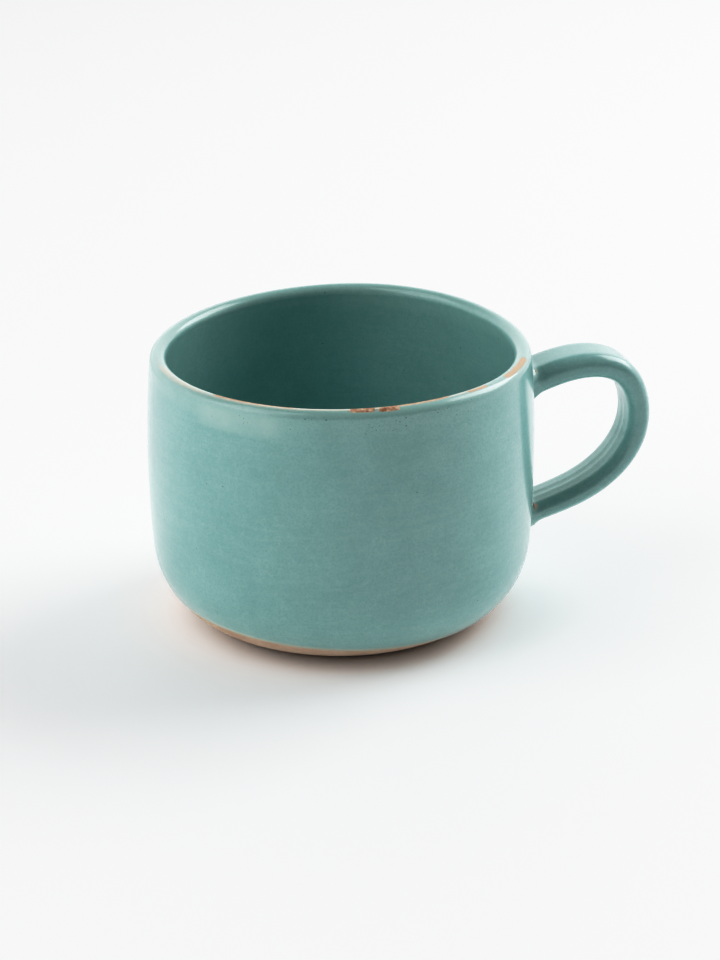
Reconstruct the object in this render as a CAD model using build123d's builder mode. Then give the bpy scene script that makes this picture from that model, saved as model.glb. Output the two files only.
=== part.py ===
from build123d import *
import os
from math import acos, asin, cos, degrees, radians, sin

os.makedirs("parts", exist_ok=True)

# A low, wide stoneware mug. The origin is the centre of the foot's underside, +Z is up and the
# handle points along +X. Lengths are millimetres and angles are degrees.

# Thrown body, in bare clay
belly_radius = 54.1
belly_height = 46.0
body_height = 77.8
wall_arc_radius = 345.0
wall_thickness = 4.2
heel_arc_radius = 25.2
heel_top_angle = 4.1
foot_arc_radius = 21.1
foot_top_angle = 29.0
foot_radius = 34.5
foot_edge_radius = 35.0
foot_recess_radius = 27.0
foot_recess_depth = 1.5
floor_height = 6.6
inner_corner_radius = 20.0

# Glaze coats
glaze_thickness = 0.4
glaze_line_height = 7.4

# Pulled strap of the handle, in bare clay: the centre line and the section at its two ends
upper_root = (50.0, 63.0)
upper_arm = (62.9, 66.0)
upper_bend = (81.4, 63.8)
outer_bend = (86.1, 47.2)
lower_bend = (73.1, 30.4)
lower_root = (48.0, 21.0)
upper_root_angle = 0.0
lower_root_angle = 22.5
upper_width = 14.9
upper_thickness = 6.6
lower_width = 14.2
lower_thickness = 5.6
palm_corner_share = 0.46
finger_corner_share = 0.3

# Slip that lutes each end of the strap to the wall: a layer behind it and a tapered collar round it
joint_thickness = 0.6
collar_spread = 1.5
collar_tip_spread = 0.3
collar_taper = 2.6
upper_root_depth = 4.0
lower_root_depth = 5.8


def towards(angle):
    """Unit vector at this angle above the outward direction, in the section plane."""
    return Vector(cos(radians(angle)), sin(radians(angle)))


def outwards(angle):
    """Unit vector at this angle above the direction of the handle, in the model's frame."""
    return Vector(cos(radians(angle)), 0, sin(radians(angle)))


# Centres of the arcs of the wall's section, each tangent to the next
wall_centre = Vector(belly_radius - wall_arc_radius, belly_height)
heel_centre = wall_centre + towards(-heel_top_angle) * (wall_arc_radius - heel_arc_radius)
foot_centre = heel_centre + towards(-foot_top_angle) * (heel_arc_radius - foot_arc_radius)
lip_radius = wall_thickness / 2
lip_arc_radius = wall_arc_radius - lip_radius
lip_angle = degrees(asin((body_height - lip_radius - belly_height) / lip_arc_radius))
lip_centre = wall_centre + towards(lip_angle) * lip_arc_radius
inner_arc_radius = wall_arc_radius - wall_thickness
inner_corner_drop = belly_height - floor_height - inner_corner_radius
inner_corner_arm = inner_arc_radius - inner_corner_radius
inner_corner_angle = degrees(asin(inner_corner_drop / inner_corner_arm))
inner_corner_centre = wall_centre + towards(-inner_corner_angle) * inner_corner_arm
glaze_line_angle = degrees(asin((foot_centre.Y - glaze_line_height) / foot_arc_radius))
foot_edge_angle = degrees(acos((foot_edge_radius - foot_centre.X) / foot_arc_radius))


def outer_side(lowest_angle, coat):
    """Arcs of the outer side, grown by a coat, from this angle down the foot arc up to the lip."""
    CenterArc(foot_centre, foot_arc_radius + coat, -lowest_angle, lowest_angle - foot_top_angle)
    CenterArc(heel_centre, heel_arc_radius + coat, -foot_top_angle, foot_top_angle - heel_top_angle)
    CenterArc(wall_centre, wall_arc_radius + coat, -heel_top_angle, heel_top_angle + lip_angle)


def outer_lip(coat):
    """Outer quarter of the lip's round, grown by a coat."""
    CenterArc(lip_centre, lip_radius + coat, lip_angle, 90 - lip_angle)


def inner_side(coat):
    """Inner quarter of the lip, the inner wall and the floor, grown into the cup by a coat."""
    CenterArc(lip_centre, lip_radius + coat, 90, 90 + lip_angle)
    CenterArc(wall_centre, inner_arc_radius - coat, lip_angle, -lip_angle - inner_corner_angle)
    corner_size = inner_corner_angle - 90
    CenterArc(inner_corner_centre, inner_corner_radius - coat, -inner_corner_angle, corner_size)
    Line((inner_corner_centre.X, floor_height + coat), (0, floor_height + coat))


def radial_cap(centre, radius, angle):
    """Short edge across a coat, square to both of its faces."""
    Line(centre + towards(angle) * radius, centre + towards(angle) * (radius + glaze_thickness))


foot_edge = foot_centre + towards(-foot_edge_angle) * foot_arc_radius

# The thrown bowl with its trimmed foot
with BuildPart() as clay_body:
    with BuildSketch(Plane.XZ):
        with BuildLine():
            outer_side(foot_edge_angle, 0)
            outer_lip(0)
            inner_side(0)
            Polyline(
                (0, floor_height),
                (0, foot_recess_depth),
                (foot_recess_radius - foot_recess_depth, foot_recess_depth),
                (foot_recess_radius, 0),
                (foot_radius, 0),
                (foot_edge.X, foot_edge.Y),
            )
        make_face()
    revolve(axis=Axis.Z)
clay_body.part.label = "clay_body"
export_step(clay_body.part, "parts/clay_body.step")


def filled_body(growth):
    """Solid that fills the outer side, grown outwards, to trim what sits against the wall."""
    with BuildPart() as filled:
        with BuildSketch(Plane.XZ):
            with BuildLine():
                outer_side(foot_edge_angle, growth)
                top = lip_centre + towards(lip_angle) * (lip_radius + growth)
                bottom = foot_centre + towards(-foot_edge_angle) * (foot_arc_radius + growth)
                Polyline((top.X, top.Y), (0, top.Y), (0, bottom.Y), (bottom.X, bottom.Y))
            make_face()
        revolve(axis=Axis.Z)
    return filled.part


wall_trim = filled_body(0)
joint_trim = filled_body(joint_thickness)

# Centre line of the strap, from the upper root round to the lower one
with BuildLine(Plane.XZ) as strap_line:
    Spline(
        upper_root,
        upper_arm,
        upper_bend,
        outer_bend,
        lower_bend,
        lower_root,
        tangents=(outwards(upper_root_angle), outwards(lower_root_angle) * -1),
    )
strap_wire = strap_line.wire()


def strap_section(plane, length, spread, slope_share):
    """Section of the strap this far along it, grown by a spread, with its palm side at +Y.

    A plane that isn't square to the centre line cuts a thicker section, by the slope's share.
    """
    share = length / strap_wire.length
    width = upper_width + (lower_width - upper_width) * share
    thickness = upper_thickness + (lower_thickness - upper_thickness) * share
    palm_radius = thickness * palm_corner_share + spread
    finger_radius = thickness * finger_corner_share + spread
    with BuildSketch(plane) as section:
        Rectangle(width + 2 * spread, thickness / slope_share + 2 * spread)
        fillet(section.vertices().group_by(Axis.Y)[-1], palm_radius)
        fillet(section.vertices().group_by(Axis.Y)[0], finger_radius)
    return section.sketch


def square_section(length, spread):
    """Section of the strap square to its centre line."""
    share = length / strap_wire.length
    plane = Plane(strap_wire @ share, x_dir=(0, 1, 0), z_dir=strap_wire % share)
    return strap_section(plane, length, spread, 1)


def upright_section(length, spread):
    """Section of the strap on an upright plane, as the wall meets it."""
    share = length / strap_wire.length
    slope_share = (strap_wire % share).X
    plane = Plane(strap_wire @ share, x_dir=(0, 1, 0), z_dir=(slope_share, 0, 0))
    return strap_section(plane, length, spread, abs(slope_share))


def strap_solid(spread):
    """The whole strap, grown by a spread."""
    sections = [square_section(0, spread), square_section(strap_wire.length, spread)]
    with BuildPart() as strap:
        sweep(sections=sections, path=strap_wire, multisection=True)
    return strap.part


def collar_solid(root, shoulder, tip, spread):
    """Sleeve inside the wall and taper outside it, through sections this far along the strap."""
    with BuildPart() as collar:
        loft(
            sections=[
                upright_section(root, collar_spread + spread),
                upright_section(shoulder, collar_spread + spread),
                upright_section(tip, collar_tip_spread + spread),
            ],
            ruled=True,
        )
    return collar.part


def upper_collar(spread):
    """Collar round the strap's upper end."""
    return collar_solid(0, upper_root_depth, upper_root_depth + collar_taper, spread)


def lower_collar(spread):
    """Collar round the strap's lower end."""
    shoulder = strap_wire.length - lower_root_depth
    return collar_solid(strap_wire.length, shoulder, shoulder - collar_taper, spread)


# The pulled strap, cut to the wall with room for the slip
with BuildPart() as clay_handle:
    add(strap_solid(0))
    add(joint_trim, mode=Mode.SUBTRACT)
clay_handle.part.label = "clay_handle"
export_step(clay_handle.part, "parts/clay_handle.step")

# Slip between each end of the strap and the wall, with its collar
with BuildPart() as upper_joint_slip:
    add(upper_collar(0))
    add(wall_trim, mode=Mode.SUBTRACT)
    add(clay_handle.part, mode=Mode.SUBTRACT)
upper_joint_slip.part.label = "upper_joint_slip"
export_step(upper_joint_slip.part, "parts/upper_joint_slip.step")

with BuildPart() as lower_joint_slip:
    add(lower_collar(0))
    add(wall_trim, mode=Mode.SUBTRACT)
    add(clay_handle.part, mode=Mode.SUBTRACT)
lower_joint_slip.part.label = "lower_joint_slip"
export_step(lower_joint_slip.part, "parts/lower_joint_slip.step")

# Everything inside the glaze of the handle
with BuildPart() as glazed_handle:
    add(strap_solid(glaze_thickness))
    add(upper_collar(glaze_thickness))
    add(lower_collar(glaze_thickness))

# Coat over the strap and its collars
with BuildPart() as handle_glaze:
    add(glazed_handle.part)
    add(wall_trim, mode=Mode.SUBTRACT)
    add(clay_handle.part, mode=Mode.SUBTRACT)
    add(upper_joint_slip.part, mode=Mode.SUBTRACT)
    add(lower_joint_slip.part, mode=Mode.SUBTRACT)
handle_glaze.part.label = "handle_glaze"
export_step(handle_glaze.part, "parts/handle_glaze.step")

# Coat over the outer side, from the glaze line up to the crest of the lip
with BuildPart() as outer_glaze:
    with BuildSketch(Plane.XZ):
        with BuildLine():
            outer_side(glaze_line_angle, 0)
            outer_lip(0)
            outer_side(glaze_line_angle, glaze_thickness)
            outer_lip(glaze_thickness)
            radial_cap(foot_centre, foot_arc_radius, -glaze_line_angle)
            radial_cap(lip_centre, lip_radius, 90)
        make_face()
    revolve(axis=Axis.Z)
    add(glazed_handle.part, mode=Mode.SUBTRACT)
outer_glaze.part.label = "outer_glaze"
export_step(outer_glaze.part, "parts/outer_glaze.step")

# Coat inside the cup, from the crest of the lip down over the floor
with BuildPart() as inner_glaze:
    with BuildSketch(Plane.XZ):
        with BuildLine():
            inner_side(0)
            inner_side(glaze_thickness)
            radial_cap(lip_centre, lip_radius, 90)
            Line((0, floor_height), (0, floor_height + glaze_thickness))
        make_face()
    revolve(axis=Axis.Z)
inner_glaze.part.label = "inner_glaze"
export_step(inner_glaze.part, "parts/inner_glaze.step")
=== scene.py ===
from math import acos, asin, atan2, cos, degrees, hypot, pi, radians, sin

import bpy
import numpy as np
from bpy.props import FloatProperty, FloatVectorProperty, PointerProperty
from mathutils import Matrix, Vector


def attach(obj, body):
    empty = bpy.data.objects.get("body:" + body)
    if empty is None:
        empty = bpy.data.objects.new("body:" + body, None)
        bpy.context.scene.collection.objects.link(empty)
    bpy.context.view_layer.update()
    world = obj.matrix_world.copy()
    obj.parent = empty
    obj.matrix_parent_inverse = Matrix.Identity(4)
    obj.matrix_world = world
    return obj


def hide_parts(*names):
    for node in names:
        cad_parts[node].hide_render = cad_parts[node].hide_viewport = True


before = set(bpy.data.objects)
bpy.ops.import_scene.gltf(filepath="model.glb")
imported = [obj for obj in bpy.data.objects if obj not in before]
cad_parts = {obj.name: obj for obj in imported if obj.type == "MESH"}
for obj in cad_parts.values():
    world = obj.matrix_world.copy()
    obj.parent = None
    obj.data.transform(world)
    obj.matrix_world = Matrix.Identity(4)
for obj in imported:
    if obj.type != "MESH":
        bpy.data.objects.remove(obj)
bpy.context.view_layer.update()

bl_info = {
    "name": "Stoneware Mug",
    "version": (1, 0, 0),
    "blender": (4, 5, 0),
    "location": "View3D > Sidebar > Mug",
    "description": "A thrown stoneware mug with a pulled handle, dipped in teal glaze",
    "category": "Add Mesh",
}

# The mug's origin is the centre of its foot's underside, and its handle points along +X.
# Lengths are metres. Angles in the body's section are degrees above the outward direction.
BELLY_RADIUS = 0.0541
BELLY_HEIGHT = 0.0460
BODY_HEIGHT = 0.0778
WALL_THICKNESS = 0.0042
WALL_ARC = 0.3450
HEEL_ARC = 0.0252
HEEL_TOP_ANGLE = 4.1
FOOT_ARC = 0.0211
FOOT_TOP_ANGLE = 29.0
FOOT_RADIUS = 0.0345
FOOT_EDGE_RADIUS = 0.0350
RECESS_RADIUS = 0.0270
RECESS_DEPTH = 0.0015
FLOOR_HEIGHT = 0.0066
CORNER_ARC = 0.0200

# Sides of every ring of the body, and degrees between its rings on each arc. Where two coats
# meet at the lip's crest, one ring lies CREST_STEP from it and the next one CREST_GAP.
SEGMENTS = 192
FOOT_STEP = 2.5
WALL_STEP = 0.4
LIP_STEP = 6
CREST_STEP = 0.6
CREST_GAP = 2
CORNER_STEP = 4

# Rings on the flat places: their radii under the foot, and their shares of the cup's floor
RECESS_RINGS = (0.002, 0.006, 0.012, 0.018)
FLOOR_RING_SHARES = (0.85, 0.7, 0.55, 0.4, 0.25, 0.1, 0.03)

# Rounding of the foot's edges, the angle from which an edge gets it, in degrees, and the height
# below which the foot is pressed flat
FOOT_EDGE_ROUND = 0.0004
FOOT_EDGE_SHARP = 25
FOOT_FLAT = 0.0003

# How far down the foot arc the outer coat reaches before it is cut along the line of the dip
COAT_LOWEST_ANGLE = 56

# The rim's lattice: points each way, its reach past the belly, and where the bending begins
LATTICE_POINTS = 5
LATTICE_REACH = 1.2
BEND_START = 0.3

# Bearings round the mug, in degrees anticlockwise from the handle
FRONT_BEARING = -102
DIP_BEARING = -12

# Sharp edges stay sharp past this angle, in degrees
SMOOTH_ANGLE = 38

# Marks on the strap's centre line, out from the mug's axis and up, and its slopes at the two ends
STRAP_MARKS = np.array(
    [
        (0.0500, 0.0630),
        (0.0629, 0.0660),
        (0.0814, 0.0638),
        (0.0861, 0.0472),
        (0.0732, 0.0302),
        (0.0481, 0.0208),
    ]
)
UPPER_SLOPE = 0.0
LOWER_SLOPE = 22.5
STRAP_STEP = 0.0009

# Shares of the strap's thickness: corners on its palm and finger sides, and its ridges' height
PALM_CORNER_SHARE = 0.46
FINGER_CORNER_SHARE = 0.40
RIDGE_SHARE = 0.025

# Shares of the strap's width: where its two ridges lie, how far each reaches to either side, and
# how wide a flat face is at least
RIDGE_PLACE = 0.1
RIDGE_REACH = 0.04
FLAT_SHARE = 0.3

# Sides of the strap's corners, and cuts across the flat faces between them
PALM_CORNER_SIDES = 8
FINGER_CORNER_SIDES = 6
FLAT_CUTS = 7

# The slip collars' shares of the coat, for their inset, and of the glaze's flare
SLIP_INSET_SHARE = 0.8
SLIP_FLARE_SHARE = 0.5

# The handle's coat: its shares of the glaze's thickness and unevenness, how far off the wall's
# coat its ends start, how deep they are then drawn into it, and how sharply that fades
HANDLE_COAT_SHARE = 0.9
HANDLE_UNEVENNESS_SHARE = 0.7
END_START = 0.0002
END_SINK = 0.0001
END_FADE = 6

# Where the rings of a flare come, as shares of the way to the wall
FLARE_STEPS = (0.4, 0.7, 0.88, 1.0)

# Bare places worn along the lip's crest: the bearings of their ends from the front, in degrees,
# their sides in metres out from the crest, and how fully they are worn
BARE_SPOTS = (
    (-40, -15, -0.0009, -0.0003, 0.8),
    (5, 8.5, -0.0006, 0.0011, 1.0),
    (13, 15.5, -0.0006, 0.0013, 1.0),
    (17, 33, -0.0006, 0.0002, 0.9),
    (43, 48, 0.0003, 0.0009, 0.85),
    (62, 77, 0.0005, 0.0015, 0.85),
)

# Cells to a metre in which the glaze's specks are drawn
SPECK_CELLS = 1100

# The view's contrast: light in the scene, and its tone on screen
VIEW_TONES = (
    (0.05, 0.018),
    (0.11, 0.058),
    (0.19, 0.118),
    (0.3, 0.235),
    (0.42, 0.41),
    (0.6, 0.66),
    (0.8, 0.885),
)
VIEW_WHITE = 0.97

# The camera stands off from the mug's middle, and looks just to the right of it and above it
TARGET = Vector((0, 0, 0.035))
CAMERA_ELEVATION = 22.99
CAMERA_DISTANCE = 0.8
CAMERA_ROLL = -0.78
AIM_RIGHT = 0.0054
AIM_UP = 0.00234
LENS = 105.76
SENSOR = 36

# The soft lights face this height
LIGHT_AIM = Vector((0, 0, 0.04))

# The table lies a hair under the foot, so that the two never coincide
TABLE_SIZE = 8
TABLE_GAP = 0.0001


def towards(angle):
    """Unit vector at this angle, above outwards in the section or from the handle in plan."""
    return Vector((cos(radians(angle)), sin(radians(angle))))


# Centres of the section's arcs, each tangent to the next
WALL_CENTRE = Vector((BELLY_RADIUS - WALL_ARC, BELLY_HEIGHT))
HEEL_CENTRE = WALL_CENTRE + towards(-HEEL_TOP_ANGLE) * (WALL_ARC - HEEL_ARC)
FOOT_CENTRE = HEEL_CENTRE + towards(-FOOT_TOP_ANGLE) * (HEEL_ARC - FOOT_ARC)
LIP_ARC = WALL_THICKNESS / 2
LIP_ANGLE = degrees(asin((BODY_HEIGHT - LIP_ARC - BELLY_HEIGHT) / (WALL_ARC - LIP_ARC)))
LIP_CENTRE = WALL_CENTRE + towards(LIP_ANGLE) * (WALL_ARC - LIP_ARC)
INNER_ARC = WALL_ARC - WALL_THICKNESS
CORNER_ANGLE = degrees(
    asin((BELLY_HEIGHT - FLOOR_HEIGHT - CORNER_ARC) / (INNER_ARC - CORNER_ARC))
)
CORNER_CENTRE = WALL_CENTRE + towards(-CORNER_ANGLE) * (INNER_ARC - CORNER_ARC)


def arc(centre, radius, start, end, step):
    """Points along an arc of the section, about this many degrees apart."""
    count = max(1, round(abs(end - start) / step))
    return [centre + towards(start + (end - start) * i / count) * radius for i in range(count + 1)]


def outer_side(coat, lowest_angle):
    """The section's outer side, grown by a coat, from low on the foot up to the crest."""
    return (
        arc(FOOT_CENTRE, FOOT_ARC + coat, -lowest_angle, -FOOT_TOP_ANGLE, FOOT_STEP)
        + arc(HEEL_CENTRE, HEEL_ARC + coat, -FOOT_TOP_ANGLE, -HEEL_TOP_ANGLE, FOOT_STEP)[1:]
        + arc(WALL_CENTRE, WALL_ARC + coat, -HEEL_TOP_ANGLE, LIP_ANGLE, WALL_STEP)[1:]
        + arc(LIP_CENTRE, LIP_ARC + coat, LIP_ANGLE, 90 - CREST_GAP, LIP_STEP)[1:]
        + arc(LIP_CENTRE, LIP_ARC + coat, 90 - CREST_STEP, 90, CREST_STEP)
    )


def inner_side(coat):
    """The section's inner side, grown into the cup by a coat, from the crest to the floor."""
    floor = FLOOR_HEIGHT + coat
    return (
        arc(LIP_CENTRE, LIP_ARC + coat, 90, 90 + CREST_STEP, CREST_STEP)
        + arc(LIP_CENTRE, LIP_ARC + coat, 90 + CREST_GAP, 180 + LIP_ANGLE, LIP_STEP)
        + arc(WALL_CENTRE, INNER_ARC - coat, LIP_ANGLE, -CORNER_ANGLE, WALL_STEP)[1:]
        + arc(CORNER_CENTRE, CORNER_ARC - coat, -CORNER_ANGLE, -90, CORNER_STEP)[1:]
        + [Vector((CORNER_CENTRE.x * share, floor)) for share in FLOOR_RING_SHARES]
    )


# ---------------------------------------------------------------- modelling


def deselect_all():
    """Deselects every object."""
    bpy.ops.object.select_all(action="DESELECT")


def edit_mode():
    bpy.ops.object.mode_set(mode="EDIT")


def object_mode():
    bpy.ops.object.mode_set(mode="OBJECT")


def select_where(piece, test):
    """Leaves the piece in edit mode with only the vertices selected whose place passes the test."""
    edit_mode()
    bpy.ops.mesh.select_mode(type="VERT")
    bpy.ops.mesh.select_all(action="DESELECT")
    object_mode()
    for vertex in piece.data.vertices:
        vertex.select = test(vertex.co)
    edit_mode()


def start_rings(name, start, **circle):
    """A circle at this radius and height, in edit mode with its rim selected."""
    deselect_all()
    bpy.ops.mesh.primitive_circle_add(
        vertices=SEGMENTS, radius=start.x, location=(0, 0, start.y), **circle
    )
    piece = bpy.context.object
    piece.name = piece.data.name = name
    bpy.ops.object.transform_apply(location=True, rotation=False, scale=False)
    edit_mode()
    bpy.ops.mesh.select_all(action="SELECT")
    return piece


def raise_rings(path):
    """Extrudes the selected ring from point to point of a path, resized to each radius."""
    for here, there in zip(path, path[1:]):
        bpy.ops.mesh.extrude_edges_move(TRANSFORM_OT_translate={"value": (0, 0, there.y - here.y)})
        share = there.x / here.x
        bpy.ops.transform.resize(value=(share, share, 1), center_override=(0, 0, there.y))


def apply_modifier(piece, kind, **settings):
    """Adds a modifier with these settings and applies it."""
    bpy.context.view_layer.objects.active = piece
    bpy.ops.object.modifier_add(type=kind)
    modifier = piece.modifiers[-1]
    for name, value in settings.items():
        setattr(modifier, name, value)
    bpy.ops.object.modifier_apply(modifier=modifier.name)


def hand_texture():
    """Slow unevenness left by the potter's hands."""
    texture = bpy.data.textures.get("hand_unevenness")
    if texture is None:
        texture = bpy.data.textures.new("hand_unevenness", "CLOUDS")
        texture.noise_scale = 0.034
        texture.noise_depth = 1
        texture.noise_basis = "IMPROVED_PERLIN"
    return texture


def rim_lattice(sizes):
    """A lattice round the body that bends its rim out of level and leans it a little."""
    deselect_all()
    bpy.ops.object.add(type="LATTICE", location=(0, 0, BODY_HEIGHT / 2))
    lattice = bpy.context.object
    lattice.name = "rim_lattice"
    grid = lattice.data
    grid.points_u = grid.points_v = grid.points_w = LATTICE_POINTS
    for way in "uvw":
        setattr(grid, "interpolation_type_" + way, "KEY_CATMULL_ROM")
    reach = max(abs(point.co.x) for point in grid.points)
    side = BELLY_RADIUS * LATTICE_REACH
    lattice.scale = (side / reach, side / reach, BODY_HEIGHT / 2 / reach)
    for point in grid.points:
        x, y, height = (value / reach for value in point.co)
        out = hypot(x, y) * side / LIP_CENTRE.x
        bearing = atan2(y, x)
        share = min(max(((height + 1) / 2 - BEND_START) / (1 - BEND_START), 0), 1)
        rise = share * share * (3 - 2 * share)
        wave = sizes.rim_saddle * cos(2 * (bearing - sizes.saddle_bearing))
        wave += sizes.rim_wobble * cos(3 * (bearing - sizes.wobble_bearing)) * out
        point.co_deform.z += wave * out * out * rise / lattice.scale.z
        point.co_deform.x += sizes.rim_lean * rise / lattice.scale.x
    return lattice


def roughen(piece, strength):
    """Gives a piece the hand's unevenness."""
    apply_modifier(
        piece,
        "DISPLACE",
        texture=hand_texture(),
        texture_coords="LOCAL",
        strength=strength,
        mid_level=0.5,
    )


def coat_inwards(piece, thickness):
    """Makes a coat of this thickness from its outer surface."""
    apply_modifier(piece, "SOLIDIFY", thickness=thickness, offset=-1, use_even_offset=True)


def settle(piece, sizes):
    """Bends a body piece with the rim's lattice and gives it the hand's unevenness."""
    apply_modifier(piece, "LATTICE", object=bpy.data.objects["rim_lattice"])
    roughen(piece, sizes.unevenness)


def finish_piece(piece, material, slot, *nodes):
    """Smooth shading, the material and the frame's facts for a finished piece."""
    deselect_all()
    piece.select_set(True)
    bpy.context.view_layer.objects.active = piece
    bpy.ops.object.shade_smooth_by_angle(angle=radians(SMOOTH_ANGLE))
    piece.data.materials.clear()
    piece.data.materials.append(material)
    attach(piece, "root")
    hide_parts(*nodes)


# ---------------------------------------------------------------- materials


class Value:
    """An output of a node, with the operators that add Math nodes."""

    def __init__(self, recipe, socket):
        self.recipe = recipe
        self.socket = socket

    def math(self, operation, other):
        return self.recipe.math(operation, self, other)

    def __add__(self, other):
        return self.math("ADD", other)

    __radd__ = __add__

    def __mul__(self, other):
        return self.math("MULTIPLY", other)

    __rmul__ = __mul__

    def __sub__(self, other):
        return self.math("SUBTRACT", other)

    def __rsub__(self, other):
        return self.recipe.math("SUBTRACT", other, self)

    def __neg__(self):
        return self.math("MULTIPLY", -1.0)

    def __truediv__(self, other):
        return self.math("DIVIDE", other)

    def __pow__(self, other):
        return self.math("POWER", other)


class Recipe:
    """A material or a world in the making."""

    def __init__(self, owner, coordinates="Object"):
        self.owner = owner
        owner.use_nodes = True
        self.tree = owner.node_tree
        self.tree.nodes.clear()
        self.place = self.node("ShaderNodeTexCoord", output=coordinates)

    def node(self, kind, settings=None, inputs=None, output=0):
        """Adds a node with these settings and inputs, and gives one of its outputs."""
        made = self.tree.nodes.new(kind)
        for name, value in (settings or {}).items():
            setattr(made, name, value)
        for name, value in (inputs or {}).items():
            if isinstance(value, Value):
                self.tree.links.new(value.socket, made.inputs[name])
            else:
                made.inputs[name].default_value = value
        return Value(self, made.outputs[output] if made.outputs else None)

    def math(self, operation, *values):
        """Adds a Math node."""
        return self.node("ShaderNodeMath", {"operation": operation}, dict(enumerate(values)))

    def axis(self, name):
        """One axis of the place."""
        return self.node("ShaderNodeSeparateXYZ", None, {"Vector": self.place}, name)

    def stretched(self, scale):
        """The place, with its axes scaled."""
        return self.node("ShaderNodeMapping", None, {"Vector": self.place, "Scale": scale})

    def noise(self, scale, detail, roughness=0.5, seed=0.0, place=None):
        """Clouds of this many to a metre, about 0.5 in the middle."""
        inputs = {
            "Vector": place or self.place,
            "W": seed,
            "Scale": scale,
            "Detail": detail,
            "Roughness": roughness,
        }
        return self.node("ShaderNodeTexNoise", {"noise_dimensions": "4D"}, inputs)

    def ramp(self, value, low, high, start=0.0, end=1.0):
        """Eases from start to end as the value goes from low to high."""
        inputs = {"Value": value, "From Min": low, "From Max": high, "To Min": start, "To Max": end}
        return self.node("ShaderNodeMapRange", {"interpolation_type": "SMOOTHSTEP"}, inputs)

    def window(self, value, low, high, edge):
        """1 between low and high, fading to 0 over the edge outside them."""
        return self.ramp(value, low - edge, low) * self.ramp(value, high, high + edge, 1.0, 0.0)

    def mix(self, share, first, second):
        """A colour between two others."""
        inputs = {0: share, 6: first, 7: second}
        return self.node("ShaderNodeMix", {"data_type": "RGBA"}, inputs, 2)

    def mix_value(self, share, first, second):
        """A number between two others."""
        return (first * (1 - share)) + (share * second)

    def bump(self, height, distance, strength, normal=None):
        """A normal raised by this height, over the normal given."""
        inputs = {"Height": height, "Distance": distance, "Strength": strength}
        if normal is not None:
            inputs["Normal"] = normal
        return self.node("ShaderNodeBump", None, inputs)

    def finish(self, **inputs):
        """A Principled shader from these sockets, and the finished material."""
        sockets = {name.replace("_", " "): value for name, value in inputs.items()}
        shader = self.node("ShaderNodeBsdfPrincipled", None, sockets)
        self.node("ShaderNodeOutputMaterial", None, {"Surface": shader})
        return self.owner


def linear(red, green, blue):
    """A display colour, given in 255ths, as the shader's linear colour."""

    def channel(value):
        value /= 255
        return value / 12.92 if value <= 0.04045 else ((value + 0.055) / 1.055) ** 2.4

    return (channel(red), channel(green), channel(blue), 1.0)


def clay_colour(recipe, paint):
    """Sandy stoneware with darker grains."""
    warmth = recipe.ramp(recipe.noise(160, 4, 0.6, 1.3), 0.3, 0.7)
    clay = recipe.mix(warmth, paint.clay, paint.clay_warm)
    grains = recipe.ramp(recipe.noise(1900, 2, 0.5, 4.1), 0.62, 0.74)
    return recipe.mix(grains * 0.45, clay, paint.grog_and_contact_shade)


def clay_material(scene):
    """Sandy stoneware, turned on the wheel, with painted contact shade darkening it at the foot."""
    paint = scene.mug_paint
    recipe = Recipe(bpy.data.materials.new("sandy_stoneware"))
    grain = recipe.noise(2600, 4, 0.6, 2.2)
    x, y, z = recipe.axis("X"), recipe.axis("Y"), recipe.axis("Z")
    # Rings left by the turning tool follow the distance from the axis and the height
    turned = recipe.node("ShaderNodeCombineXYZ", None, {"X": (x * x + y * y) ** 0.5, "Y": z})
    turning = recipe.noise(520, 2, 0.5, 6.0, turned)
    relief = grain * 0.45 + turning * 0.55
    # Painted contact shade: within about a millimetre of the table, the clay is darkened towards
    # the grog colour
    painted_contact_shade = recipe.ramp(z + (grain - 0.5) * 0.0006, 0.0002, 0.0013, 0.55, 0.0)
    return recipe.finish(
        Base_Color=recipe.mix(painted_contact_shade, clay_colour(recipe, paint), paint.grog_and_contact_shade),
        Roughness=recipe.ramp(grain, 0.3, 0.7, 0.72, 0.9),
        Normal=recipe.bump(relief, 0.00035, 0.5),
    )


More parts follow.
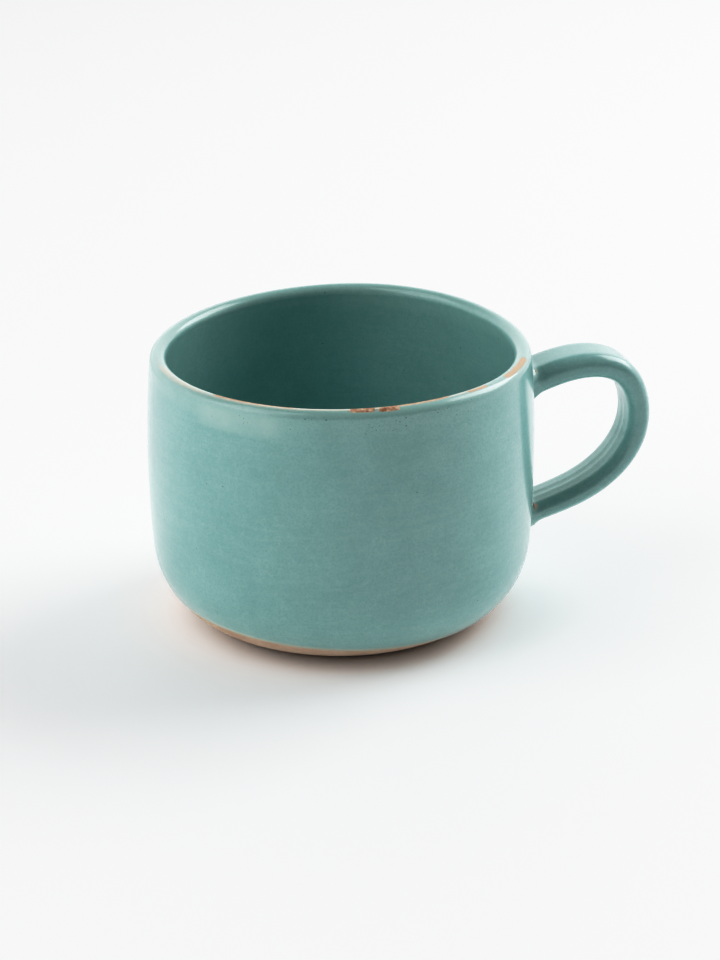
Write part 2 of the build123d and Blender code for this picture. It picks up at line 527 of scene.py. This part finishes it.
def glaze_material(scene):
    """Mottled satin glaze, worn through along the lip and thin at its lower edge."""
    paint = scene.mug_paint
    recipe = Recipe(bpy.data.materials.new("mottled_teal"))
    x, y, z = recipe.axis("X"), recipe.axis("Y"), recipe.axis("Z")
    radius = (x * x + y * y) ** 0.5
    # Degrees round the mug, anticlockwise from its front, and metres out from the lip's crest
    front = towards(FRONT_BEARING)
    ahead = x * front.x + y * front.y
    aside = y * front.x - x * front.y
    bearing = recipe.math("ARCTAN2", aside, ahead) * degrees(1)
    from_crest = radius - LIP_CENTRE.x
    at_lip = recipe.ramp(z, 0.071, 0.0745)

    slow = recipe.noise(28, 3, 0.5, 0.7)
    drift = recipe.noise(95, 4, 0.55, 3.1)
    mottle = recipe.noise(520, 5, 0.62, 5.7)
    fine = recipe.noise(1700, 3, 0.6, 9.2)
    streaks = recipe.noise(70, 4, 0.6, 8.8, recipe.stretched((1, 1, 9)))

    teal = recipe.mix(recipe.ramp(slow, 0.3, 0.7), paint.glaze, paint.glaze_pale)
    teal = recipe.mix(recipe.ramp(drift, 0.32, 0.72) * 0.35, teal, paint.glaze_deep)
    teal = recipe.mix(recipe.ramp(mottle, 0.42, 0.7) * 0.2, teal, paint.glaze_milk_and_sheen)
    teal = recipe.mix(recipe.ramp(fine, 0.42, 0.66) * 0.4, teal, paint.glaze_deep)
    teal = recipe.mix(recipe.ramp(streaks, 0.4, 0.75) * 0.14, teal, paint.glaze_milk_and_sheen)

    # Where the coat thins over the lip it turns milky, then cream
    ragged = (fine - 0.5) * 0.0006 + (mottle - 0.5) * 0.0010 + (drift - 0.5) * 0.0012
    crest = from_crest + ragged
    shoulder = at_lip * recipe.window(crest, -0.0014, 0.0018, 0.0016)
    teal = recipe.mix(shoulder * 0.30, teal, paint.glaze_milk_and_sheen)
    thin = at_lip * recipe.window(crest, -0.0009, 0.0003, 0.0007)
    thin = thin * recipe.window(bearing, -70, 40, 15)
    teal = recipe.mix(thin * recipe.ramp(drift, 0.3, 0.6, 0.25, 0.75), teal, paint.thin_glaze)

    # Bare clay, most toasted in the patches at the front
    worn = 0.0
    ends = bearing + (drift - 0.5) * 5 + (mottle - 0.5) * 6
    for start, end, inside, outside, strength in BARE_SPOTS:
        along = recipe.window(ends, start, end, 4)
        across = recipe.window(crest, inside, outside, 0.0006)
        worn = recipe.math("MAXIMUM", worn, along * across * strength)
    worn = worn * at_lip
    chipped = recipe.ramp(worn + (mottle - 0.5) * 0.9, 0.42, 0.6)
    toasted = recipe.math(
        "MAXIMUM", recipe.window(ends, 4, 17, 3), recipe.ramp(bearing, 36, 50, 0.4, 0.0)
    )
    toasted = toasted * recipe.ramp(mottle, 0.35, 0.6)
    worn_clay = recipe.mix(toasted, paint.worn_pale, paint.worn_burnt)

    # Dark specks, close under the lip and few elsewhere
    cells = {"Vector": recipe.place, "Scale": SPECK_CELLS}
    distance = recipe.node("ShaderNodeTexVoronoi", {"feature": "F1"}, cells, "Distance")
    lottery = recipe.node("ShaderNodeTexVoronoi", {"feature": "F1"}, cells, "Color")
    draw = recipe.node("ShaderNodeSeparateColor", None, {0: lottery}, "Red")
    depth = recipe.node("ShaderNodeSeparateColor", None, {0: lottery}, "Green")
    near_lip = recipe.window(z, 0.0742, 0.0768, 0.0025) * recipe.window(bearing, -30, 35, 25)
    odds = near_lip * 0.26 + 0.006
    speck = recipe.math("LESS_THAN", draw, odds) * recipe.ramp(distance, 0.1, 0.26, 1.0, 0.0)
    speck = speck * recipe.ramp(depth, 0.0, 1.0, 0.25, 0.8)
    teal = recipe.mix(speck, teal, paint.speck)

    # A painted sheen: a pale reflection of the light from the upper left, painted in milky glaze
    # under the lip at the front, to the left
    painted_sheen = recipe.window(bearing, -40, -22, 9) * recipe.window(z, 0.0722, 0.0752, 0.0028)
    teal = recipe.mix(painted_sheen * recipe.ramp(drift, 0.3, 0.7, 0.3, 0.8), teal, paint.glaze_milk_and_sheen)

    # The coat thins at its lower edge
    dip = towards(DIP_BEARING) * scene.mug_sizes.line_slope
    line = z + x * dip.x + y * dip.y + (fine - 0.5) * 0.0007 + (mottle - 0.5) * 0.0006
    edge = recipe.ramp(line, 0.0075, 0.0086, 1.0, 0.0)
    edge = edge * recipe.ramp(radius, 0.0405, 0.0410)
    teal = recipe.mix(edge * 0.6, teal, paint.thin_glaze)

    peel = recipe.noise(1100, 2, 0.5, 7.7)
    relief = recipe.bump(peel, 0.00005, 0.35)
    relief = recipe.bump(-chipped - speck * 0.3, 0.0001, 0.6, relief)
    satin = recipe.ramp(mottle, 0.3, 0.7, 0.4, 0.48)
    return recipe.finish(
        Base_Color=recipe.mix(chipped, teal, worn_clay),
        Roughness=recipe.mix_value(chipped, satin, 0.75),
        IOR=1.52,
        Coat_Weight=1 - chipped,
        Coat_Roughness=0.15,
        Normal=relief,
    )


def floor_material(scene):
    """A pale matt table top."""
    paint = scene.mug_paint
    recipe = Recipe(bpy.data.materials.new("pale_table"))
    grain = recipe.noise(900, 3, 0.5)
    x, y = recipe.axis("X"), recipe.axis("Y")
    # The table's own glow stands in for light from all round, which the foot shuts out
    glow = recipe.ramp((x * x + y * y) ** 0.5, 0.036, 0.054)
    shade = recipe.ramp(grain, 0.3, 0.7) * 0.25
    return recipe.finish(
        Base_Color=recipe.mix(shade, paint.table, paint.table_shade),
        Roughness=0.62,
        Emission_Color=recipe.mix(glow, (0.0, 0.0, 0.0, 1.0), (1.0, 1.0, 1.0, 1.0)),
        Emission_Strength=0.15,
        Normal=recipe.bump(grain, 0.0001, 0.1),
    )


def white_room(stage):
    """Bright walls at the sides and behind, a dimmer ceiling, and a dark front."""
    recipe = Recipe(bpy.data.worlds.new("white_room"), "Generated")
    x, y, z = recipe.axis("X"), recipe.axis("Y"), recipe.axis("Z")
    level = (x * x + y * y + 0.0001) ** 0.5
    ahead = (x * cos(stage.dark_bearing) + y * sin(stage.dark_bearing)) / level
    dark = recipe.ramp(ahead, 0.3, 0.7)
    walls = recipe.mix_value(dark, stage.walls, stage.dark)
    strength = recipe.mix_value(recipe.ramp(z, 0.5, 0.8), walls, stage.ceiling)
    background = recipe.node("ShaderNodeBackground", None, {"Strength": strength})
    recipe.node("ShaderNodeOutputWorld", None, {"Surface": background})
    return recipe.owner


def material(name, make):
    """The named material, made on first use."""
    return bpy.data.materials.get(name) or make(bpy.context.scene)


def teal_glaze():
    return material("mottled_teal", glaze_material)


def stoneware_clay():
    return material("sandy_stoneware", clay_material)


# ---------------------------------------------------------------- sizes and colours


def number(name, description, default, **more):
    """A number that a user can change, as are a length, a colour and an angle."""
    return FloatProperty(name=name, description=description, default=default, **more)


def length(name, description, default):
    return number(name, description, default, unit="LENGTH", precision=5)


def colour(name, description, red, green, blue):
    return FloatVectorProperty(
        name=name,
        description=description,
        default=linear(red, green, blue),
        size=4,
        subtype="COLOR",
        min=0,
        max=1,
    )


def angle(name, description, default):
    return number(name, description, radians(default), unit="ROTATION")


class MugSizes(bpy.types.PropertyGroup):
    coat: length("Glaze coat", "Thickness of the glaze", 0.0004)
    line_height: length("Glaze line", "Height of the glaze's lower edge at the front", 0.0073)
    line_slope: number("Glaze line slope", "Rise of the glaze line per metre across", 0.068)
    unevenness: length("Unevenness", "How far the surface wanders from a true round", 0.0003)
    rim_saddle: length("Rim saddle", "How far the rim bends out of level, twice round", 0.00055)
    saddle_bearing: angle("Saddle bearing", "Bearing of a high side of the rim", 66)
    rim_wobble: length("Rim wobble", "How far the rim bends, three times round", 0.00017)
    wobble_bearing: angle("Wobble bearing", "Bearing of a high place of the wobble", 56)
    rim_lean: length("Rim lean", "How far the rim leans towards the handle", 0.00044)
    strap_width: length("Strap width", "Width of its upper end, glazed", 0.0157)
    strap_thickness: length("Strap thickness", "Thickness of its upper end, glazed", 0.0074)
    strap_end_width: length("Strap end width", "Width of its lower end, glazed", 0.0150)
    strap_end_thickness: length("Strap end thickness", "Thickness of its lower end, glazed", 0.0058)
    slip: length("Slip", "Thickness of the slip between the strap and the wall", 0.0006)
    collar_spread: length("Collar spread", "How far the strap's ends flare on the wall", 0.0014)
    collar_length: length("Collar length", "How far from the wall the flare begins", 0.0026)


class MugPaint(bpy.types.PropertyGroup):
    glaze: colour("Glaze", "Main colour of the glaze", 146, 189, 186)
    glaze_pale: colour("Pale glaze", "Glaze where it lies thick and milky", 156, 197, 193)
    glaze_deep: colour("Deep glaze", "Glaze where it lies clear and dark", 126, 174, 171)
    # Also the colour of the painted sheen under the lip at the front
    glaze_milk_and_sheen: colour("Milky glaze", "Milky clouding in the glaze", 186, 213, 206)
    thin_glaze: colour("Thin glaze", "Glaze broken thin over an edge", 214, 206, 186)
    worn_pale: colour("Worn edge", "Clay showing through the worn lip", 224, 198, 174)
    worn_burnt: colour("Burnt edge", "Toasted clay on the worn lip", 158, 110, 78)
    speck: colour("Specks", "Iron specks in the glaze", 40, 58, 56)
    clay: colour("Clay", "Bare stoneware", 214, 194, 174)
    clay_warm: colour("Toasted clay", "Bare stoneware toasted by the fire", 202, 178, 156)
    # Also the colour of the painted contact shade at the foot's lowest edge
    grog_and_contact_shade: colour("Grog", "Dark grains in the bare stoneware", 120, 84, 62)
    table: colour("Table", "Pale table top", 244, 244, 245)
    table_shade: colour("Table shade", "Slight variation of the table top", 238, 238, 240)


class MugStage(bpy.types.PropertyGroup):
    walls: number("Walls", "Brightness of the room's white walls", 1.45, min=0)
    ceiling: number("Ceiling", "Brightness of the room's ceiling", 0.2, min=0)
    dark: number("Dark front", "Brightness of the room in front", 0.05, min=0)
    dark_bearing: angle("Dark bearing", "Bearing of the middle of the dark front", -82)
    key: number("Key light", "Power of the softbox", 7.5, min=0, unit="POWER")
    fill: number("Fill light", "Power of the side panel", 4.8, min=0, unit="POWER")


# ---------------------------------------------------------------- operators


class MUG_OT_clay_body(bpy.types.Operator):
    """Throw the bowl in bare clay, with its trimmed foot"""

    bl_idname = "mug.clay_body"
    bl_label = "Clay Body"

    def execute(self, context):
        sizes = context.scene.mug_sizes
        underside = [Vector((radius, RECESS_DEPTH)) for radius in RECESS_RINGS] + [
            Vector((RECESS_RADIUS - RECESS_DEPTH, RECESS_DEPTH)),
            Vector((RECESS_RADIUS, 0)),
            Vector((FOOT_RADIUS, 0)),
        ]
        foot_edge_angle = degrees(acos((FOOT_EDGE_RADIUS - FOOT_CENTRE.x) / FOOT_ARC))
        path = underside + outer_side(0, foot_edge_angle) + inner_side(0)[1:]
        piece = start_rings("clay_body_thrown", path[0], fill_type="TRIFAN")
        bpy.ops.mesh.region_to_loop()
        raise_rings(path)
        bpy.ops.mesh.merge(type="CENTER")
        bpy.ops.mesh.select_all(action="SELECT")
        bpy.ops.mesh.normals_make_consistent(inside=False)
        object_mode()
        apply_modifier(
            piece,
            "BEVEL",
            width=FOOT_EDGE_ROUND,
            segments=3,
            limit_method="ANGLE",
            angle_limit=radians(FOOT_EDGE_SHARP),
        )
        settle(piece, sizes)
        select_where(piece, lambda place: place.z < FOOT_FLAT)
        bpy.ops.transform.resize(value=(1, 1, 0), center_override=(0, 0, 0))
        object_mode()
        finish_piece(piece, stoneware_clay(), "bare_clay", "clay_body")
        return {"FINISHED"}


class MUG_OT_outer_glaze(bpy.types.Operator):
    """Coat the outer side, down to the slanting line of the dip"""

    bl_idname = "mug.outer_glaze"
    bl_label = "Outer Glaze"

    def execute(self, context):
        sizes = context.scene.mug_sizes
        path = outer_side(sizes.coat, COAT_LOWEST_ANGLE)
        piece = start_rings("outer_glaze_coat", path[0])
        raise_rings(path)
        bpy.ops.mesh.select_all(action="SELECT")
        slant = towards(DIP_BEARING) * sizes.line_slope
        bpy.ops.mesh.bisect(
            plane_co=(0, 0, sizes.line_height),
            plane_no=(slant.x, slant.y, 1),
            clear_inner=True,
            threshold=1e-6,
        )
        object_mode()
        settle(piece, sizes)
        coat_inwards(piece, sizes.coat)
        finish_piece(piece, teal_glaze(), "teal_glaze", "outer_glaze")
        return {"FINISHED"}


class MUG_OT_inner_glaze(bpy.types.Operator):
    """Coat the inside of the cup, from the crest of the lip down over the floor"""

    bl_idname = "mug.inner_glaze"
    bl_label = "Inner Glaze"

    def execute(self, context):
        sizes = context.scene.mug_sizes
        path = inner_side(sizes.coat)
        piece = start_rings("inner_glaze_coat", path[0])
        raise_rings(path)
        bpy.ops.mesh.merge(type="CENTER")
        object_mode()
        settle(piece, sizes)
        coat_inwards(piece, sizes.coat)
        finish_piece(piece, teal_glaze(), "teal_glaze", "inner_glaze")
        return {"FINISHED"}


def strap_stations(step):
    """Points along a smooth bend through the marks, with the angle of travel at each."""
    runs = np.diff(STRAP_MARKS, axis=0)
    lengths = np.hypot(*runs.T)
    count = len(STRAP_MARKS)
    rows = np.eye(count)
    wanted = np.zeros((count, 2))
    wanted[0] = towards(UPPER_SLOPE)
    wanted[-1] = -towards(LOWER_SLOPE)
    for i in range(1, count - 1):
        before, after = lengths[i - 1], lengths[i]
        rows[i, i - 1 : i + 2] = (after, 2 * (before + after), before)
        wanted[i] = 3 * (after * runs[i - 1] / before + before * runs[i] / after)
    speeds = np.linalg.solve(rows, wanted)
    stations = []
    for i, run in enumerate(lengths):
        pieces = round(run / step)
        for j in range(pieces + (i == count - 2)):
            s = j / pieces
            point = (
                (2 * s**3 - 3 * s**2 + 1) * STRAP_MARKS[i]
                + (3 * s**2 - 2 * s**3) * STRAP_MARKS[i + 1]
                + ((s**3 - 2 * s**2 + s) * speeds[i] + (s**3 - s**2) * speeds[i + 1]) * run
            )
            speed = (
                (6 * s**2 - 6 * s) * (STRAP_MARKS[i] - STRAP_MARKS[i + 1]) / run
                + (3 * s**2 - 4 * s + 1) * speeds[i]
                + (3 * s**2 - 2 * s) * speeds[i + 1]
            )
            stations.append((Vector((point[0], 0, point[1])), atan2(speed[1], speed[0])))
    return stations


def strap_section(width, thickness):
    """The strap's section as a closed ring, upright across the upper root, in edit mode."""
    deselect_all()
    bpy.ops.mesh.primitive_plane_add(size=1, rotation=(0, pi / 2, 0))
    piece = bpy.context.object
    bpy.ops.object.transform_apply()
    edit_mode()
    bpy.ops.mesh.select_all(action="SELECT")
    bpy.ops.transform.resize(value=(1, width, thickness), center_override=(0, 0, 0))
    round_corners(piece, 1, thickness * PALM_CORNER_SHARE, PALM_CORNER_SIDES)
    round_corners(piece, -1, thickness * FINGER_CORNER_SHARE, FINGER_CORNER_SIDES)
    bpy.ops.mesh.select_all(action="SELECT")
    bpy.ops.mesh.delete(type="ONLY_FACE")
    object_mode()
    for edge in piece.data.edges:
        run = piece.data.vertices[edge.vertices[0]].co - piece.data.vertices[edge.vertices[1]].co
        edge.select = abs(run.z) < 1e-6 and abs(run.y) > width * FLAT_SHARE
    edit_mode()
    bpy.ops.mesh.select_mode(type="EDGE")
    bpy.ops.mesh.subdivide(number_cuts=FLAT_CUTS)
    # Two faint ridges left by the fingers that pulled the strap
    aside, reach = width * RIDGE_PLACE, width * RIDGE_REACH
    select_where(piece, lambda place: place.z < 0 and abs(abs(place.y) - aside) < reach)
    bpy.ops.transform.translate(value=(0, 0, -thickness * RIDGE_SHARE))
    return piece


def round_corners(piece, side, radius, segments):
    """Rounds the section's two corners above or below its middle."""
    object_mode()
    top = max(v.co.z * side for v in piece.data.vertices)
    select_where(piece, lambda place: place.z * side > top - 1e-6)
    bpy.ops.mesh.bevel(offset=radius, segments=segments, affect="VERTICES", offset_type="OFFSET")


def half_turn(angle):
    """The same angle, within half a turn of nothing."""
    return (angle + pi) % (2 * pi) - pi


def strap_stops(sizes, inset, wall, flare=0.0):
    """Where the strap's section goes, and its size, from wall to wall.

    It is inset from the glaze, and it turns upright and flares on its way to the wall.
    """
    clear = wall + sizes.collar_length
    stations = [station for station in strap_stations(STRAP_STEP) if station[0].x > clear]
    travelled = [0.0]
    for (here, _), (there, _) in zip(stations, stations[1:]):
        travelled.append(travelled[-1] + (there - here).length)
    stops = []
    for (point, direction), distance in zip(stations, travelled):
        share = distance / travelled[-1]
        width = sizes.strap_width + (sizes.strap_end_width - sizes.strap_width) * share
        thickness = sizes.strap_thickness
        thickness += (sizes.strap_end_thickness - sizes.strap_thickness) * share
        stops.append((point, direction, width - 2 * inset, thickness - 2 * inset))

    def run_in(stop, upright):
        """Stops from this one to the wall."""
        point, direction, width, thickness = stop
        slope = half_turn(direction - upright)
        reach = (wall - point.x) / cos(direction)
        way = Vector((cos(direction), 0, sin(direction))) * reach
        for share in FLARE_STEPS:
            grown = 2 * flare * share**3
            tall = thickness / cos(slope * share)
            yield point + way * share, upright + slope * (1 - share), width + grown, tall + grown

    return list(run_in(stops[0], 0))[::-1] + stops + list(run_in(stops[-1], pi))


def sweep_strap(name, stops):
    """A tube of the strap's section from stop to stop, in edit mode."""
    spot, tilt, width, thickness = stops[0]
    piece = strap_section(width, thickness)
    piece.name = piece.data.name = name
    bpy.ops.mesh.select_all(action="SELECT")
    bpy.ops.transform.translate(value=spot)
    bpy.ops.transform.rotate(value=tilt, orient_axis="Y", center_override=spot)
    for point, direction, new_width, new_thickness in stops[1:]:
        bpy.ops.mesh.extrude_edges_move(TRANSFORM_OT_translate={"value": point - spot})
        turn = half_turn(direction - tilt)
        bpy.ops.transform.rotate(value=turn, orient_axis="Y", center_override=point)
        grow = new_thickness / thickness
        bpy.ops.transform.resize(value=(grow, new_width / width, grow), center_override=point)
        spot, tilt, width, thickness = point, direction, new_width, new_thickness
    bpy.ops.mesh.select_all(action="SELECT")
    return piece


class MUG_OT_clay_strap(bpy.types.Operator):
    """Pull the handle's strap in bare clay, with room for slip at the wall"""

    bl_idname = "mug.clay_strap"
    bl_label = "Clay Strap"

    def execute(self, context):
        sizes = context.scene.mug_sizes
        start = BELLY_RADIUS + sizes.coat + sizes.slip
        piece = sweep_strap("clay_strap_pulled", strap_stops(sizes, sizes.coat, start))
        bpy.ops.mesh.fill_holes(sides=0)
        bpy.ops.mesh.select_all(action="SELECT")
        bpy.ops.mesh.normals_make_consistent(inside=False)
        object_mode()
        finish_piece(piece, stoneware_clay(), "bare_clay", "clay_handle")
        return {"FINISHED"}


class MUG_OT_joint_slips(bpy.types.Operator):
    """Lute both ends of the strap to the wall with a collar of slip"""

    bl_idname = "mug.joint_slips"
    bl_label = "Joint Slips"

    def execute(self, context):
        sizes = context.scene.mug_sizes
        start = BELLY_RADIUS + sizes.coat + sizes.slip
        strap = strap_stops(sizes, sizes.coat, start)
        spread = sizes.collar_spread * SLIP_FLARE_SHARE
        flared = strap_stops(sizes, sizes.coat * SLIP_INSET_SHARE, start, spread)
        rings = len(FLARE_STEPS)
        for name, node, order in (
            ("upper_slip_collar", "upper_joint_slip", 1),
            ("lower_slip_collar", "lower_joint_slip", -1),
        ):
            # Out along the strap's own surface, and back along the flare
            inside, outside = strap[::order][:rings], flared[::order][:rings]
            piece = sweep_strap(name, inside[::-1] + outside + inside[rings - 1 :])
            bpy.ops.mesh.remove_doubles(threshold=0.00001)
            bpy.ops.mesh.normals_make_consistent(inside=False)
            object_mode()
            finish_piece(piece, stoneware_clay(), "bare_clay", node)
        return {"FINISHED"}


class MUG_OT_handle_glaze(bpy.types.Operator):
    """Coat the pulled strap, with the flare of each end on the wall"""

    bl_idname = "mug.handle_glaze"
    bl_label = "Handle Glaze"

    def execute(self, context):
        sizes = context.scene.mug_sizes
        start = BELLY_RADIUS + sizes.coat + END_START
        piece = sweep_strap("handle_glaze_coat", strap_stops(sizes, 0, start, sizes.collar_spread))
        bpy.ops.mesh.normals_make_consistent(inside=False)
        object_mode()
        group = piece.vertex_groups.new(name="ends")
        for vertex in piece.data.vertices:
            distance = min(max((vertex.co.x - start) / sizes.collar_length, 0), 1)
            group.add([vertex.index], (1 - distance) ** END_FADE, "REPLACE")
        apply_modifier(
            piece,
            "SHRINKWRAP",
            target=bpy.data.objects["outer_glaze_coat"],
            wrap_method="PROJECT",
            use_project_x=True,
            use_positive_direction=False,
            use_negative_direction=True,
            offset=-END_SINK,
            vertex_group="ends",
        )
        roughen(piece, sizes.unevenness * HANDLE_UNEVENNESS_SHARE)
        coat_inwards(piece, sizes.coat * HANDLE_COAT_SHARE)
        finish_piece(piece, teal_glaze(), "teal_glaze", "handle_glaze")
        return {"FINISHED"}


def outwards(bearing, height):
    """Unit vector away from the mug at this bearing and this many degrees up."""
    out = towards(bearing) * cos(radians(height))
    return Vector((out.x, out.y, sin(radians(height))))


def add_panel(name, power, bearing, height, distance, size):
    """A square soft light that faces the mug."""
    place = outwards(bearing, height) * distance
    bpy.ops.object.light_add(type="AREA", location=place)
    light = bpy.context.object
    light.name = name
    light.data.shape = "SQUARE"
    light.data.size = size
    light.data.energy = power
    light.rotation_euler = (place - LIGHT_AIM).to_track_quat("Z", "Y").to_euler()


class MUG_OT_stage(bpy.types.Operator):
    """Set the table, the lights and the camera"""

    bl_idname = "mug.stage"
    bl_label = "Stage"

    def execute(self, context):
        stage = context.scene.mug_stage
        scene = context.scene
        deselect_all()
        bpy.ops.mesh.primitive_plane_add(size=TABLE_SIZE, location=(0, 0, -TABLE_GAP))
        table = context.object
        table.name = "table"
        table.data.materials.append(material("pale_table", floor_material))

        scene.world = white_room(stage)

        key = {"bearing": 18, "height": 40, "distance": 1.3, "size": 0.8}
        fill = {"bearing": 190, "height": 50, "distance": 1.4, "size": 1.0}
        add_panel("key_softbox", stage.key, **key)
        add_panel("fill_panel", stage.fill, **fill)

        bpy.ops.object.camera_add()
        camera = context.object
        camera.name = "camera"
        camera.location = TARGET + outwards(FRONT_BEARING, CAMERA_ELEVATION) * CAMERA_DISTANCE
        right = outwards(FRONT_BEARING + 90, 0)
        aim = TARGET + right * AIM_RIGHT + Vector((0, 0, AIM_UP))
        camera.rotation_euler = (camera.location - aim).to_track_quat("Z", "Y").to_euler()
        camera.rotation_euler.rotate_axis("Z", radians(CAMERA_ROLL))
        camera.data.sensor_width = SENSOR
        camera.data.lens = LENS
        camera.data.clip_start = 0.01
        scene.camera = camera

        scene.view_settings.view_transform = "Standard"
        scene.view_settings.use_curve_mapping = True
        tones = scene.view_settings.curve_mapping
        curve = tones.curves[3]
        curve.points[-1].location = (1.0, VIEW_WHITE)
        for light, tone in VIEW_TONES:
            curve.points.new(light, tone)
        tones.update()
        return {"FINISHED"}


class MUG_PT_panel(bpy.types.Panel):
    """The mug's sizes, colours and steps"""

    bl_label = "Stoneware Mug"
    bl_idname = "MUG_PT_panel"
    bl_space_type = "VIEW_3D"
    bl_region_type = "UI"
    bl_category = "Mug"

    def draw(self, context):
        for group in (context.scene.mug_sizes, context.scene.mug_paint, context.scene.mug_stage):
            box = self.layout.box()
            for name in group.__annotations__:
                box.prop(group, name)
        for step in STEPS:
            self.layout.operator(step.bl_idname)


# In the order in which the mug is made
STEPS = (
    MUG_OT_clay_body,
    MUG_OT_outer_glaze,
    MUG_OT_inner_glaze,
    MUG_OT_clay_strap,
    MUG_OT_joint_slips,
    MUG_OT_handle_glaze,
    MUG_OT_stage,
)
CLASSES = (MugSizes, MugPaint, MugStage, *STEPS, MUG_PT_panel)


def register():
    for cls in CLASSES:
        bpy.utils.register_class(cls)
    bpy.types.Scene.mug_sizes = PointerProperty(type=MugSizes)
    bpy.types.Scene.mug_paint = PointerProperty(type=MugPaint)
    bpy.types.Scene.mug_stage = PointerProperty(type=MugStage)


def unregister():
    del bpy.types.Scene.mug_stage
    del bpy.types.Scene.mug_paint
    del bpy.types.Scene.mug_sizes
    for cls in reversed(CLASSES):
        bpy.utils.unregister_class(cls)


def main():
    register()
    lattice = rim_lattice(bpy.context.scene.mug_sizes)
    bpy.ops.mug.clay_body()
    bpy.ops.mug.outer_glaze()
    bpy.ops.mug.inner_glaze()
    bpy.ops.mug.clay_strap()
    bpy.ops.mug.joint_slips()
    bpy.ops.mug.handle_glaze()
    bpy.data.objects.remove(lattice)
    bpy.ops.mug.stage()


if __name__ == "__main__":
    main()
